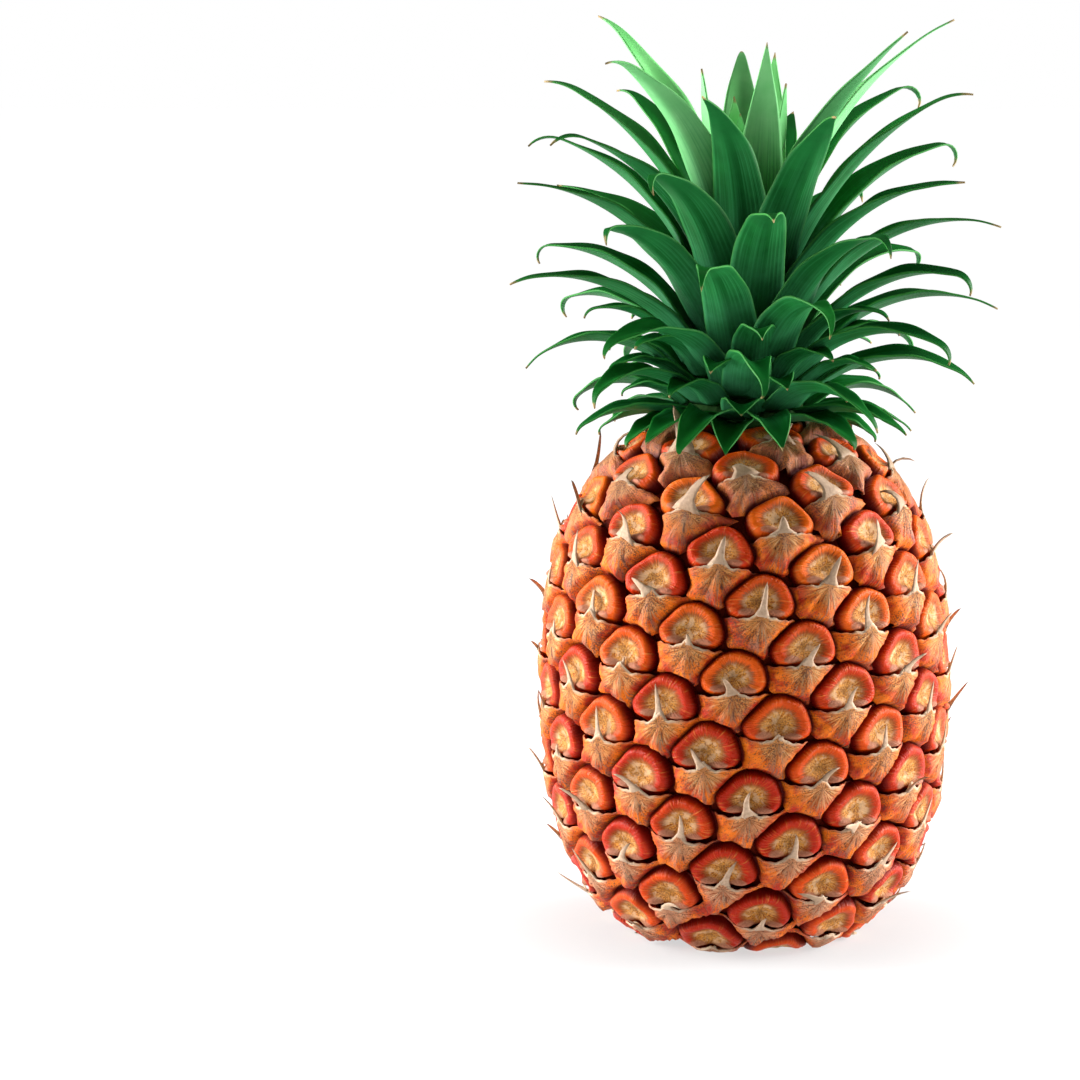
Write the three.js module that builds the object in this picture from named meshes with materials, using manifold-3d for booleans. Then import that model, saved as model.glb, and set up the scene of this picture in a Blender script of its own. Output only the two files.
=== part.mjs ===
// A ripe pineapple, picked, standing on its base: one barrel-shaped multiple fruit,
// the cut stub of its stalk, and the crown of leaves that grows on a short stem.
// Millimetres, +Z up. The origin is the centre of the flat underside.
import * as THREE from "three";
import { mergeVertices } from "three/addons/utils/BufferGeometryUtils.js";
import { ConvexHull } from "three/addons/math/ConvexHull.js";
import Module from "manifold-3d";

const wasm = await Module();
wasm.setup();

// ---- driving dimensions ----
const GAP = 0.3; // clearance between pieces that touch
const MERGE_DISTANCE = 1e-4; // nearer than this, two points are one
const ROUND_SIDES = 40; // how many flat sides a round seat or stalk has
const STEM_SIDES = 32;
const GOLDEN_ANGLE = Math.PI * (3 - Math.sqrt(5));

// The fruit is a superellipsoid whose lower end is cut flat.
const FRUIT_RADIUS = 64.5; // over the eyes, at the widest height
const WIDEST_HEIGHT = 80;
const RISE_ABOVE = 85; // from the widest height to the top
const DROP_BELOW = 89.3; // from the widest height to the uncut lower pole
const BARREL_POWER = 2.5;

// Its eyes are fruitlets of equal area, set one golden angle apart on one rising spiral.
const EYE_WIDTH = 22.75; // across the flats of one hexagonal cell
const FIRST_EYE = 0.2; // how far up the spiral the first eye is, in eyes
const FIRST_EYE_AZIMUTH = THREE.MathUtils.degToRad(266);
const GROOVE_DEPTH = 4.6; // from an eye's rim down to the groove around it
const EYE_DISH = 1.3; // from the rim down to the eye's middle
const BRACT_SLOPE = 1.1; // how far the lower half of an eye lies below its rim
const RIM_SHARE = 0.66; // where the rim is, from the middle of the eye to its groove
const LOWER_HALF = 0.25; // the share of the way down an eye at which its bract begins

// The stalk is cut flush with the underside.
const STALK_RADIUS = 12.5;
const STALK_DEPTH = 9;

// The crown's stem sits in a shallow seat in the top of the fruit.
const STEM_RADIUS = 19;
const STEM_TIP_RADIUS = 3;
const STEM_SEAT = 6; // how deep it sits below the fruit's top
const STEM_LENGTH = 54; // from its foot to its tip

// The crown's leaves, from the lowest and outermost to the innermost. Where a value is a pair,
// the first is for the lowest leaf of its kind and the second for the highest.
const SPREADING_LEAVES = 50;
const BUD_LEAVES = 6;
const FIRST_LEAF_AZIMUTH = THREE.MathUtils.degToRad(247);
const LOWEST_LEAF_ABOVE_FRUIT = 1;
const BUD_BELOW_STEM_TIP = 3;
const SHORTEST_LEAF = 40;
const LONGEST_LEAF = 101;
const LENGTH_RISE = 0.6; // below 1, the leaves get longer mostly low down in the crown
const SUNNY_SIDE = 0.04; // how much longer the leaves on the +X side are
const FOOT_LEAN = [18, 75]; // degrees above level, where a spreading leaf grows from the stem
const LEAN_RISE = 0.5; // below 1, the leaves stand up mostly low down in the crown
const TIP_LEAN = [-55, 33]; // degrees above level, at its tip
const DROOP_DELAY = 1.4; // above 1, a leaf bends more towards its tip
const BUD_LEAF_LENGTH = [78, 50];
const BUD_FOOT_LEAN = [74, 85];
const BUD_TIP_LEAN = [86, 89];
const LOWEST_HALF_WIDTH = 8;
const WIDEST_HALF_WIDTH = 10.5;
const WIDEST_FROM = 0.6; // the share of the way up the crown from which leaves are full width
const BUD_HALF_WIDTH = 10;
const FOOT_WIDTH = 0.86; // a leaf's width at its foot, as a share of its fullest width
const LEAF_THICKNESS = 1.6; // at the midrib, where a leaf grows from the stem
const LEAF_WRAP = 0.8; // a leaf's half width is at most this share of its distance from the axis
const CHANNEL_FOLD = THREE.MathUtils.degToRad(26); // how steeply each half rises from the midrib
const FLAT_FROM = 0.4; // the share of a leaf's length by which its wrapped foot has opened
// How far one leaf may differ from the next: a share of its length, then degrees.
const LENGTH_VARIES = 0.05;
const TIP_LEAN_VARIES = 9;
const SIDE_BEND = 9;
const TWIST = 20;
// A leaf narrows to its tip by the power of what is left of its length, and is fullest in between.
const TAPER_DELAY = 1.8; // above 1, it keeps its width longer
const TAPER_POWER = 1.15;
const FULLNESS = 0.5; // how much wider it would get from foot to tip if it didn't narrow
const TIP_THINNING = 0.6; // how much of its thickness it loses
const LEAF_STATIONS = [0, 0.09, 0.2, 0.33, 0.47, 0.61, 0.75, 0.89];

// ---- the fruit's smooth surface ----
const middle = new THREE.Vector3(0, 0, WIDEST_HEIGHT);
const topHeight = WIDEST_HEIGHT + RISE_ABOVE;

const semiHeight = (z) => (z > WIDEST_HEIGHT ? RISE_ABOVE : DROP_BELOW);

// The point of the surface that lies on the line from the middle through p.
function onSurface(p) {
  const radius = Math.hypot(p.x, p.y) / FRUIT_RADIUS;
  const height = Math.abs(p.z - WIDEST_HEIGHT) / semiHeight(p.z);
  const level = (radius ** BARREL_POWER + height ** BARREL_POWER) ** (1 / BARREL_POWER);
  return p.clone().sub(middle).divideScalar(level).add(middle);
}

function surfaceNormal(p) {
  const radius = Math.hypot(p.x, p.y);
  const sideways = (radius / FRUIT_RADIUS) ** (BARREL_POWER - 1) / FRUIT_RADIUS;
  const a = semiHeight(p.z);
  const upwards = (Math.abs(p.z - WIDEST_HEIGHT) / a) ** (BARREL_POWER - 1) / a;
  const outward = radius > 0 ? sideways / radius : 0;
  const rising = p.z > WIDEST_HEIGHT ? upwards : -upwards;
  return new THREE.Vector3(p.x * outward, p.y * outward, rising).normalize();
}

// A point on the surface nearest to p, sunk by depth.
function sunk(p, depth) {
  const q = onSurface(p);
  return q.addScaledVector(surfaceNormal(q), -depth);
}

// The meridian from the lower pole to the upper one. Each point has the surface's area up to it,
// and its northing: the height it would have on a Mercator map of the fruit, which keeps shapes.
function meridian() {
  const steps = 2000;
  const points = [];
  let area = 0;
  let northing = 0;
  for (let k = 0; k <= steps; k++) {
    const angle = (k / steps - 0.5) * Math.PI;
    const share = Math.abs(Math.sin(angle)) ** (2 / BARREL_POWER);
    const z = WIDEST_HEIGHT + (angle > 0 ? RISE_ABOVE : -DROP_BELOW) * share;
    const r = FRUIT_RADIUS * Math.max(0, Math.cos(angle)) ** (2 / BARREL_POWER);
    const last = points.at(-1);
    if (last) {
      const along = Math.hypot(r - last.r, z - last.z);
      area += Math.PI * (r + last.r) * along;
      northing += (2 * along) / (r + last.r);
    }
    points.push({ r, z, area, northing });
  }
  const equator = points[steps / 2].northing;
  return points.map((p) => ({ ...p, northing: p.northing - equator }));
}

// Each eye's centre on the fruit, and the same place on a globe that maps the fruit without
// changing the shape of an eye. Neighbours on the globe are neighbours on the fruit.
function eyeCentres() {
  const line = meridian();
  const eyeArea = (Math.sqrt(3) / 2) * EYE_WIDTH ** 2;
  const centres = new Map();
  let at = 1;
  for (let k = 0; (k + FIRST_EYE) * eyeArea < line.at(-1).area; k++) {
    const area = (k + FIRST_EYE) * eyeArea;
    while (line[at].area < area) at++;
    const low = line[at - 1];
    const high = line[at];
    const share = (area - low.area) / (high.area - low.area);
    const between = (trait) => THREE.MathUtils.lerp(low[trait], high[trait], share);
    const azimuth = FIRST_EYE_AZIMUTH + k * GOLDEN_ANGLE;
    const place = (r, z) => new THREE.Vector3(r * Math.cos(azimuth), r * Math.sin(azimuth), z);
    const northing = between("northing");
    centres.set(place(1 / Math.cosh(northing), Math.tanh(northing)), place(between("r"), between("z")));
  }
  return centres;
}

// ---- solids ----
// The closed solid whose surface a geometry is.
function solidOfGeometry(geometry) {
  const bare = new THREE.BufferGeometry();
  bare.setAttribute("position", geometry.getAttribute("position"));
  bare.setIndex(geometry.getIndex());
  const merged = mergeVertices(bare, MERGE_DISTANCE);
  return new wasm.Manifold(
    new wasm.Mesh({
      numProp: 3,
      vertProperties: merged.attributes.position.array,
      triVerts: new Uint32Array(merged.index.array),
    }),
  );
}

// The closed solid of a list of triangles, each three points.
const solidOfTriangles = (triangles) =>
  solidOfGeometry(new THREE.BufferGeometry().setFromPoints(triangles.flat()));

function geometryOfSolid(solid) {
  const mesh = solid.getMesh();
  const g = new THREE.BufferGeometry();
  g.setAttribute("position", new THREE.BufferAttribute(new Float32Array(mesh.vertProperties), 3));
  g.setIndex(new THREE.BufferAttribute(new Uint32Array(mesh.triVerts), 1));
  g.computeVertexNormals();
  return g;
}

// A round solid standing on the Z axis, from one height to another.
function roundSolid(radius, bottom, top) {
  const g = new THREE.CylinderGeometry(radius, radius, top - bottom, ROUND_SIDES);
  g.rotateX(Math.PI / 2).translate(0, 0, (bottom + top) / 2);
  return solidOfGeometry(g);
}

// The bumpy skin of eyes. The convex hull of the globe's points joins neighbouring eyes into
// triangles; in each triangle the three eyes meet in a groove, and each keeps a raised rim.
function skinOfEyes() {
  const centres = eyeCentres();
  const hull = new ConvexHull().setFromPoints([...centres.keys()]);
  const eyeAt = (edge) => centres.get(edge.tail().point);
  const triangles = [];
  const rims = new Map();
  const grooves = new Map();
  const middles = new Map();
  const corners = new Map();
  const middleOf = (p) => {
    if (!middles.has(p)) middles.set(p, sunk(p, EYE_DISH));
    return middles.get(p);
  };
  const cornerOf = (face) => {
    if (!corners.has(face)) {
      const { edge } = face;
      const centre = eyeAt(edge).clone().add(eyeAt(edge.next)).add(eyeAt(edge.prev)).divideScalar(3);
      corners.set(face, { centre, groove: sunk(centre, GROOVE_DEPTH) });
    }
    return corners.get(face);
  };
  const rimOf = (p, face) => {
    if (!rims.has(face)) rims.set(face, new Map());
    if (!rims.get(face).has(p)) {
      const q = p.clone().lerp(cornerOf(face).centre, RIM_SHARE);
      const lower = p.z - q.z > LOWER_HALF * EYE_WIDTH;
      rims.get(face).set(p, sunk(q, lower ? BRACT_SLOPE : 0));
    }
    return rims.get(face).get(p);
  };
  for (const face of hull.faces) {
    let edge = face.edge;
    do {
      const a = eyeAt(edge);
      const b = eyeAt(edge.next);
      const twin = edge.twin;
      if (!grooves.has(twin)) grooves.set(edge, sunk(a.clone().lerp(b, 0.5), GROOVE_DEPTH));
      const saddle = grooves.get(edge) ?? grooves.get(twin);
      const groove = cornerOf(face).groove;
      triangles.push([middleOf(a), rimOf(a, twin.face), rimOf(a, face)]);
      triangles.push([rimOf(a, twin.face), saddle, rimOf(a, face)]);
      triangles.push([rimOf(a, face), saddle, groove]);
      triangles.push([groove, saddle, rimOf(b, face)]);
      edge = edge.next;
    } while (edge !== face.edge);
  }
  return solidOfTriangles(triangles);
}

function fruitGeometry() {
  const below = roundSolid(2 * FRUIT_RADIUS, -2 * DROP_BELOW, 0);
  const stalkSeat = roundSolid(STALK_RADIUS + GAP, -1, STALK_DEPTH + GAP);
  const stemSeat = roundSolid(STEM_RADIUS + GAP, topHeight - STEM_SEAT, topHeight + STEM_SEAT);
  return geometryOfSolid(skinOfEyes().subtract(below).subtract(stalkSeat).subtract(stemSeat));
}

// ---- the crown's stem ----
const stemFoot = topHeight - STEM_SEAT + GAP;
const stemTip = stemFoot + STEM_LENGTH;

// The stem is straight through the fruit's seat and tapers above it.
function stemRadius(z) {
  const share = THREE.MathUtils.clamp((z - topHeight) / (stemTip - topHeight), 0, 1);
  return STEM_RADIUS + (STEM_TIP_RADIUS - STEM_RADIUS) * share;
}

function stemGeometry() {
  const outline = [
    new THREE.Vector2(0, stemFoot),
    new THREE.Vector2(STEM_RADIUS, stemFoot),
    new THREE.Vector2(STEM_RADIUS, topHeight),
    new THREE.Vector2(STEM_TIP_RADIUS, stemTip),
    new THREE.Vector2(0, stemTip + STEM_TIP_RADIUS),
  ];
  return new THREE.LatheGeometry(outline, STEM_SIDES).rotateX(Math.PI / 2);
}

// ---- the crown's leaves ----
// A repeatable number from -1 to 1 for a leaf, a different one for each trait.
function chance(leaf, trait) {
  const x = Math.sin(leaf * 12.9898 + trait * 78.233) * 43758.5453;
  return 2 * (x - Math.floor(x)) - 1;
}

// How leaf number i of the crown grows: where it starts, how it leans, how long and wide it is.
function leafHabit(i) {
  const count = SPREADING_LEAVES + BUD_LEAVES;
  const t = i / (count - 1);
  const lowest = topHeight + LOWEST_LEAF_ABOVE_FRUIT;
  const z = lowest + (stemTip - BUD_BELOW_STEM_TIP - lowest) * t;
  const inBud = i >= SPREADING_LEAVES;
  const u = inBud ? (i - SPREADING_LEAVES) / (BUD_LEAVES - 1) : i / (SPREADING_LEAVES - 1);
  const degrees = THREE.MathUtils.degToRad;
  const between = ([low, high], share) => low + (high - low) * share;
  const habit = { z, azimuth: FIRST_LEAF_AZIMUTH + i * GOLDEN_ANGLE, inBud };
  if (inBud) {
    habit.footLean = degrees(between(BUD_FOOT_LEAN, u));
    habit.tipLean = degrees(between(BUD_TIP_LEAN, u));
    habit.length = between(BUD_LEAF_LENGTH, u);
    habit.halfWidth = BUD_HALF_WIDTH;
    habit.sideBend = 0;
    habit.twist = 0;
  } else {
    habit.footLean = degrees(between(FOOT_LEAN, u ** LEAN_RISE));
    habit.tipLean = degrees(between(TIP_LEAN, u) + TIP_LEAN_VARIES * chance(i, 1));
    const vigour = 1 + SUNNY_SIDE * Math.cos(habit.azimuth) + LENGTH_VARIES * chance(i, 2);
    habit.length = between([SHORTEST_LEAF, LONGEST_LEAF], u ** LENGTH_RISE) * vigour;
    habit.halfWidth = between([LOWEST_HALF_WIDTH, WIDEST_HALF_WIDTH], Math.min(1, u / WIDEST_FROM));
    habit.sideBend = degrees(SIDE_BEND) * chance(i, 3);
    habit.twist = degrees(TWIST) * chance(i, 4);
  }
  // The flat facets of a wrapped foot must clear the round stem.
  const halfWrap = Math.min(LEAF_WRAP, (FOOT_WIDTH * habit.halfWidth) / stemRadius(z));
  habit.r = (stemRadius(z) + GAP) / Math.cos(halfWrap / 2);
  return habit;
}

// The leaf's line in its own upright plane: its distance from the axis, height and lean at each step.
function leafLine(habit) {
  const steps = 200;
  const line = [{ r: habit.r, z: habit.z, lean: habit.footLean }];
  for (let k = 1; k <= steps; k++) {
    const lean = habit.footLean + (habit.tipLean - habit.footLean) * (k / steps) ** DROOP_DELAY;
    const last = line.at(-1);
    const step = habit.length / steps;
    line.push({ r: last.r + step * Math.cos(lean), z: last.z + step * Math.sin(lean), lean });
  }
  return line;
}

// One cross-section at share s of the leaf's length: its two edges, and its midrib inside and outside.
function leafSection(habit, line, s) {
  const { r, z, lean } = line[Math.round(s * (line.length - 1))];
  const azimuth = habit.azimuth + habit.sideBend * s ** 2;
  const out = new THREE.Vector3(Math.cos(azimuth), Math.sin(azimuth), 0);
  const side = new THREE.Vector3(-out.y, out.x, 0);
  const along = out.clone().multiplyScalar(Math.cos(lean)).setZ(Math.sin(lean));
  const inner = new THREE.Vector3().crossVectors(along, side).normalize();
  side.applyAxisAngle(along, habit.twist * s);
  inner.applyAxisAngle(along, habit.twist * s);
  const taper = (1 - s ** TAPER_DELAY) ** TAPER_POWER * (FOOT_WIDTH + FULLNESS * s);
  const width = Math.min(habit.halfWidth * taper, LEAF_WRAP * r);
  const midrib = out.clone().multiplyScalar(r).setZ(z);
  const open = habit.inBud ? 0 : THREE.MathUtils.smoothstep(s, 0, FLAT_FROM);
  const edge = (sign) => {
    const wrapped = midrib.clone().applyAxisAngle(new THREE.Vector3(0, 0, 1), (sign * width) / r);
    const channelled = midrib
      .clone()
      .addScaledVector(side, sign * width * Math.cos(CHANNEL_FOLD))
      .addScaledVector(inner, width * Math.sin(CHANNEL_FOLD));
    return wrapped.lerp(channelled, open);
  };
  return {
    left: edge(1),
    inside: midrib,
    right: edge(-1),
    outside: midrib.clone().addScaledVector(inner, -LEAF_THICKNESS * (1 - TIP_THINNING * s)),
  };
}

// A leaf is a long blade, V-shaped in section, that closes to a point.
function leafGeometry(i) {
  const habit = leafHabit(i);
  const line = leafLine(habit);
  const rings = LEAF_STATIONS.map((s) => {
    const section = leafSection(habit, line, s);
    return [section.left, section.inside, section.right, section.outside];
  });
  const tip = leafSection(habit, line, 1).inside;
  const [left, inside, right, outside] = rings[0];
  const triangles = [
    [left, outside, inside],
    [inside, outside, right],
  ];
  rings.slice(1).forEach((ring, k) => {
    ring.forEach((p, j) => {
      const next = (j + 1) % ring.length;
      triangles.push([rings[k][j], ring[next], p]);
      triangles.push([rings[k][j], rings[k][next], ring[next]]);
    });
  });
  const last = rings.at(-1);
  last.forEach((p, j) => triangles.push([p, last[(j + 1) % last.length], tip]));
  return geometryOfSolid(solidOfTriangles(triangles));
}

// ---- the plant ----
const skin = new THREE.MeshStandardMaterial({ color: 0xb5521c, roughness: 0.5, metalness: 0 });
const wood = new THREE.MeshStandardMaterial({ color: 0xb59a6a, roughness: 0.85, metalness: 0 });
const paleGreen = new THREE.MeshStandardMaterial({ color: 0x8aa860, roughness: 0.6, metalness: 0 });
const leafGreen = new THREE.MeshStandardMaterial({ color: 0x17602f, roughness: 0.42, metalness: 0 });

function node(name, geometry, material) {
  const mesh = new THREE.Mesh(geometry, material);
  mesh.name = name;
  return mesh;
}

const pineapple = new THREE.Group();
pineapple.add(node("fruit", fruitGeometry(), skin));
pineapple.add(node("cut_stalk", geometryOfSolid(roundSolid(STALK_RADIUS, 0, STALK_DEPTH)), wood));
pineapple.add(node("crown_stem", stemGeometry(), paleGreen));
for (let i = 0; i < SPREADING_LEAVES + BUD_LEAVES; i++) {
  const name = `crown_leaf_${String(i + 1).padStart(2, "0")}`;
  pineapple.add(node(name, leafGeometry(i), leafGreen));
}

export default pineapple;
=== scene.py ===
import math

import bmesh
import bpy
import numpy as np
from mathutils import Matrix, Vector


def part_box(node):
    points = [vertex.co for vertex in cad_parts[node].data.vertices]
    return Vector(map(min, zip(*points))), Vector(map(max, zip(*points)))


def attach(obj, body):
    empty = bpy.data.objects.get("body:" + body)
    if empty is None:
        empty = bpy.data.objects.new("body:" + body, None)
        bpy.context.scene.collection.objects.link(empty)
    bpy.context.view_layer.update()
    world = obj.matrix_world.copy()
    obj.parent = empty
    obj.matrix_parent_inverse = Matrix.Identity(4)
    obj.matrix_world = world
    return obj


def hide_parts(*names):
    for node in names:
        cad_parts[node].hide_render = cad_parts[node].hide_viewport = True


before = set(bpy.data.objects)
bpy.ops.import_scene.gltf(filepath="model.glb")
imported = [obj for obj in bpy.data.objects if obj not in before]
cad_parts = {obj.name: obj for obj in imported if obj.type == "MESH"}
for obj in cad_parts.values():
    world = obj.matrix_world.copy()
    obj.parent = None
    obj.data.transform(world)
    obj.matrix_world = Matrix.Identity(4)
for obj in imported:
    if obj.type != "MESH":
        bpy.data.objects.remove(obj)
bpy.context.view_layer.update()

# ---- The fruit's body ----
# A pineapple is many berries grown into one barrel. This is the solid body that shows only at the
# bottom of the grooves between the eyes, and as the flat underside that the fruit stands on.
FRUIT_RADIUS = 0.0645
WIDEST_HEIGHT = 0.080
RISE_ABOVE = 0.085
DROP_BELOW = 0.0893
BARREL_POWER = 2.5
GROOVE_DEPTH = 0.0048
FLOOR_CLEARANCE = 0.0006


def on_skin(points):
    """The fruit's smooth surface where a line from its middle through each point leaves it, and
    the outward direction there."""
    middle = np.array((0, 0, WIDEST_HEIGHT))
    ray = points - middle
    rise = np.where(ray[:, 2] > 0, RISE_ABOVE, DROP_BELOW)
    across = np.hypot(ray[:, 0], ray[:, 1]) / FRUIT_RADIUS
    level = (across**BARREL_POWER + (np.abs(ray[:, 2]) / rise) ** BARREL_POWER) ** (1 / BARREL_POWER)
    surface = ray / level[:, None]
    radius = np.maximum(np.hypot(surface[:, 0], surface[:, 1]), 1e-9)
    sideways = (radius / FRUIT_RADIUS) ** (BARREL_POWER - 1) / FRUIT_RADIUS / radius
    upward = np.sign(surface[:, 2]) * (np.abs(surface[:, 2]) / rise) ** (BARREL_POWER - 1) / rise
    outward = np.stack((surface[:, 0] * sideways, surface[:, 1] * sideways, upward), axis=1)
    outward /= np.linalg.norm(outward, axis=1)[:, None]
    return surface + middle, outward


def new_finish(name):
    """A material with only its own surface shader in it."""
    finish = bpy.data.materials.new(name)
    finish.use_nodes = True
    return finish


def feed(finish, socket, value):
    """Gives a socket of a finish a plain value, or another node's output."""
    if isinstance(value, bpy.types.NodeSocket):
        finish.node_tree.links.new(value, socket)
    else:
        socket.default_value = value


def step(finish, kind, sockets=None, **settings):
    """One node of a finish, with the values that its sockets take."""
    made = finish.node_tree.nodes.new(kind)
    for setting, value in settings.items():
        setattr(made, setting, value)
    for socket, value in (sockets or {}).items():
        feed(finish, made.inputs[socket], value)
    return made


def place_on_piece(finish):
    return step(finish, "ShaderNodeTexCoord").outputs["Object"]


def height_of(finish, place):
    return step(finish, "ShaderNodeSeparateXYZ", {0: place}).outputs["Z"]


def trait(finish, name):
    """A number that each point of the piece carries."""
    return step(finish, "ShaderNodeAttribute", attribute_name=name).outputs["Fac"]


def calc(finish, operation, first, second=0.0):
    return step(finish, "ShaderNodeMath", {0: first, 1: second}, operation=operation).outputs[0]


def fade(finish, value, start, end, low=0.0, high=1.0):
    """A smooth change from low to high as the value goes from start to end."""
    sockets = {"Value": value, "From Min": start, "From Max": end, "To Min": low, "To Max": high}
    return step(finish, "ShaderNodeMapRange", sockets, interpolation_type="SMOOTHSTEP").outputs[0]


def mottle(finish, place, size, detail=3.0, stretch=(1, 1, 1)):
    """Cloudy patches about one size across, from 0 to 1, made longer or shorter by the stretch."""
    scaled = step(finish, "ShaderNodeMapping", {"Vector": place, "Scale": stretch}).outputs[0]
    sockets = {"Vector": scaled, "Scale": 1 / size, "Detail": detail, "Roughness": 0.6}
    return step(finish, "ShaderNodeTexNoise", sockets).outputs["Fac"]


def blend(finish, share, first, second):
    """One colour laid over another by a share from 0 to 1."""
    sockets = {0: share, 6: first, 7: second}
    return step(finish, "ShaderNodeMix", sockets, data_type="RGBA").outputs[2]


def paint(finish, colour, roughness, height=None, depth=0.0002, **others):
    """Sets a surface's colour, roughness, the small relief of its skin, and other sockets by name."""
    surface = finish.node_tree.nodes["Principled BSDF"].inputs
    feed(finish, surface["Base Color"], colour)
    feed(finish, surface["Roughness"], roughness)
    if height is not None:
        bump = step(finish, "ShaderNodeBump", {"Height": height, "Distance": depth, "Strength": 1.0})
        feed(finish, surface["Normal"], bump.outputs[0])
    for name, value in others.items():
        feed(finish, surface[name.replace("_", " ")], value)


def add_piece(name, mesh, finishes, replaced=()):
    """Puts a finished mesh in the scene, smooth, as part of the plant."""
    for finish in finishes:
        mesh.materials.append(finish)
    mesh.polygons.foreach_set("use_smooth", [True] * len(mesh.polygons))
    piece = bpy.data.objects.new(name, mesh)
    bpy.context.scene.collection.objects.link(piece)
    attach(piece, "root")
    if replaced:
        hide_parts(*replaced)
    return piece


def to_mesh(made, name):
    mesh = bpy.data.meshes.new(name)
    made.to_mesh(mesh)
    made.free()
    return mesh


def groove_finish():
    finish = new_finish("groove_bottom")
    place = place_on_piece(finish)
    height = height_of(finish, place)
    fibres = mottle(finish, place, 0.0012, 4.0, (1, 1, 0.3))
    # Painted shade: the body is near-black red where it shows at the bottom of the grooves; low on the
    # underside it is a dry brown.
    groove = blend(finish, fibres, (0.06, 0.002, 0.0, 1), (0.17, 0.010, 0.001, 1))
    dry = blend(finish, fibres, (0.20, 0.10, 0.045, 1), (0.48, 0.31, 0.16, 1))
    colour = blend(finish, fade(finish, height, 0.0008, 0.0018), dry, groove)
    paint(finish, colour, 0.75, fibres, 0.0006, Specular_IOR_Level=0.08)
    return finish


body = bmesh.new()
bmesh.ops.create_uvsphere(body, u_segments=96, v_segments=64, radius=0.05)
ball = np.array([vertex.co for vertex in body.verts]) + (0, 0, WIDEST_HEIGHT)
surface, outward = on_skin(ball)
for vertex, point in zip(body.verts, surface - outward * GROOVE_DEPTH):
    vertex.co = (point[0], point[1], max(point[2], FLOOR_CLEARANCE))
add_piece("fruit_body", to_mesh(body, "fruit_body"), [groove_finish()], ["fruit"])

# ---- The eyes' domes ----
# Each eye is the top of one berry: a low dome with a swollen glossy rim, orange to deep red, round
# a dished, downy, straw-coloured middle where the dried flower was. They grow on one spiral.
EYE_WIDTH = 0.02275
FIRST_EYE = 0.2
FIRST_EYE_AZIMUTH = math.radians(266)
GOLDEN_ANGLE = math.pi * (3 - math.sqrt(5))
COVERED_BY_CROWN = 0.016
LOWEST_SHOWN = -0.0045
DOME_CENTRE = np.array((0.0, 0.0025))
DOME_HALF_WIDTH = 0.0116
DOME_RISE = 0.0083
DOME_SQUARENESS = 2.3
DOME_PEAK = 0.06
DOME_UNEVENNESS = 0.00022
DOME_TUCK = 0.0032
FLOWER_LEAF_RISE = 0.0013
# How far off another eye can be and still bound this one, in eye widths, and how sharp the corners
# are of an eye's own ground and of the outline that fits in it.
NEIGHBOUR_REACH = 1.75
GROUND_SHARPNESS = 24
OUTLINE_SHARPNESS = 14
SHARE_OF_GROUND = 0.995
# Shares of the way out to the dome's outline, and heights above the groove.
DOME_PROFILE = (
    (0, 0.0028), (0.12, 0.0029), (0.24, 0.0032), (0.37, 0.0036), (0.50, 0.0041), (0.60, 0.0046),
    (0.69, 0.0050), (0.77, 0.0051), (0.85, 0.0048), (0.91, 0.0042), (0.96, 0.0031), (1.0, 0.0015),
    (1.01, 0.0002), (0.98, -0.0015), (0, -0.0015),
)

chance = np.random.default_rng(7)

angle = np.linspace(-math.pi / 2, math.pi / 2, 2001)
meridian_radius = FRUIT_RADIUS * np.abs(np.cos(angle)) ** (2 / BARREL_POWER)
meridian_rise = np.where(angle > 0, RISE_ABOVE, -DROP_BELOW)
meridian_height = WIDEST_HEIGHT + meridian_rise * np.abs(np.sin(angle)) ** (2 / BARREL_POWER)
slant = np.hypot(np.diff(meridian_radius), np.diff(meridian_height))
bands = math.pi * (meridian_radius[1:] + meridian_radius[:-1]) * slant
area_below = np.concatenate(([0], np.cumsum(bands)))
eye_area = math.sqrt(3) / 2 * EYE_WIDTH**2
eye_numbers = np.arange(math.floor(area_below[-1] / eye_area - FIRST_EYE) + 1)
eye_radius = np.interp((eye_numbers + FIRST_EYE) * eye_area, area_below, meridian_radius)
eye_height = np.interp((eye_numbers + FIRST_EYE) * eye_area, area_below, meridian_height)
eye_azimuth = FIRST_EYE_AZIMUTH + eye_numbers * GOLDEN_ANGLE
eye_centre = np.stack((eye_radius * np.cos(eye_azimuth), eye_radius * np.sin(eye_azimuth), eye_height), 1)
eye_outward = on_skin(eye_centre)[1]
eye_right = np.stack((-np.sin(eye_azimuth), np.cos(eye_azimuth), 0 * eye_azimuth), 1)
eye_up = np.cross(eye_outward, eye_right)
eye_size = chance.uniform(0.95, 1.05, len(eye_numbers))
eye_turn = np.radians(chance.uniform(-6, 6, len(eye_numbers)))
eye_tone = chance.uniform(0, 1, len(eye_numbers))
in_crown = (eye_radius < COVERED_BY_CROWN) & (eye_height > WIDEST_HEIGHT)
shown_eyes = np.flatnonzero(~in_crown & (eye_height > LOWEST_SHOWN))


def neighbours(eye):
    """The eyes round one eye, and where they are: how far to its right and how far up from it."""
    offset = eye_centre - eye_centre[eye]
    distance = np.linalg.norm(offset, axis=1)
    near = np.flatnonzero((distance > 0) & (distance < NEIGHBOUR_REACH * EYE_WIDTH))
    return near, np.stack((offset[near] @ eye_right[eye], offset[near] @ eye_up[eye]), 1)


def reach(offsets, start, direction):
    """How far an eye's own ground goes from a point in it, before a neighbour's begins."""
    along = np.stack((np.cos(direction), np.sin(direction)), 1) @ offsets.T
    room = np.sum(offsets**2, axis=1) / 2 - offsets @ start
    near = np.where(along > 1e-6, np.maximum(along, 1e-6) / room, 0)
    return np.sum(near**GROUND_SHARPNESS, axis=1) ** (-1 / GROUND_SHARPNESS)


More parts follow.
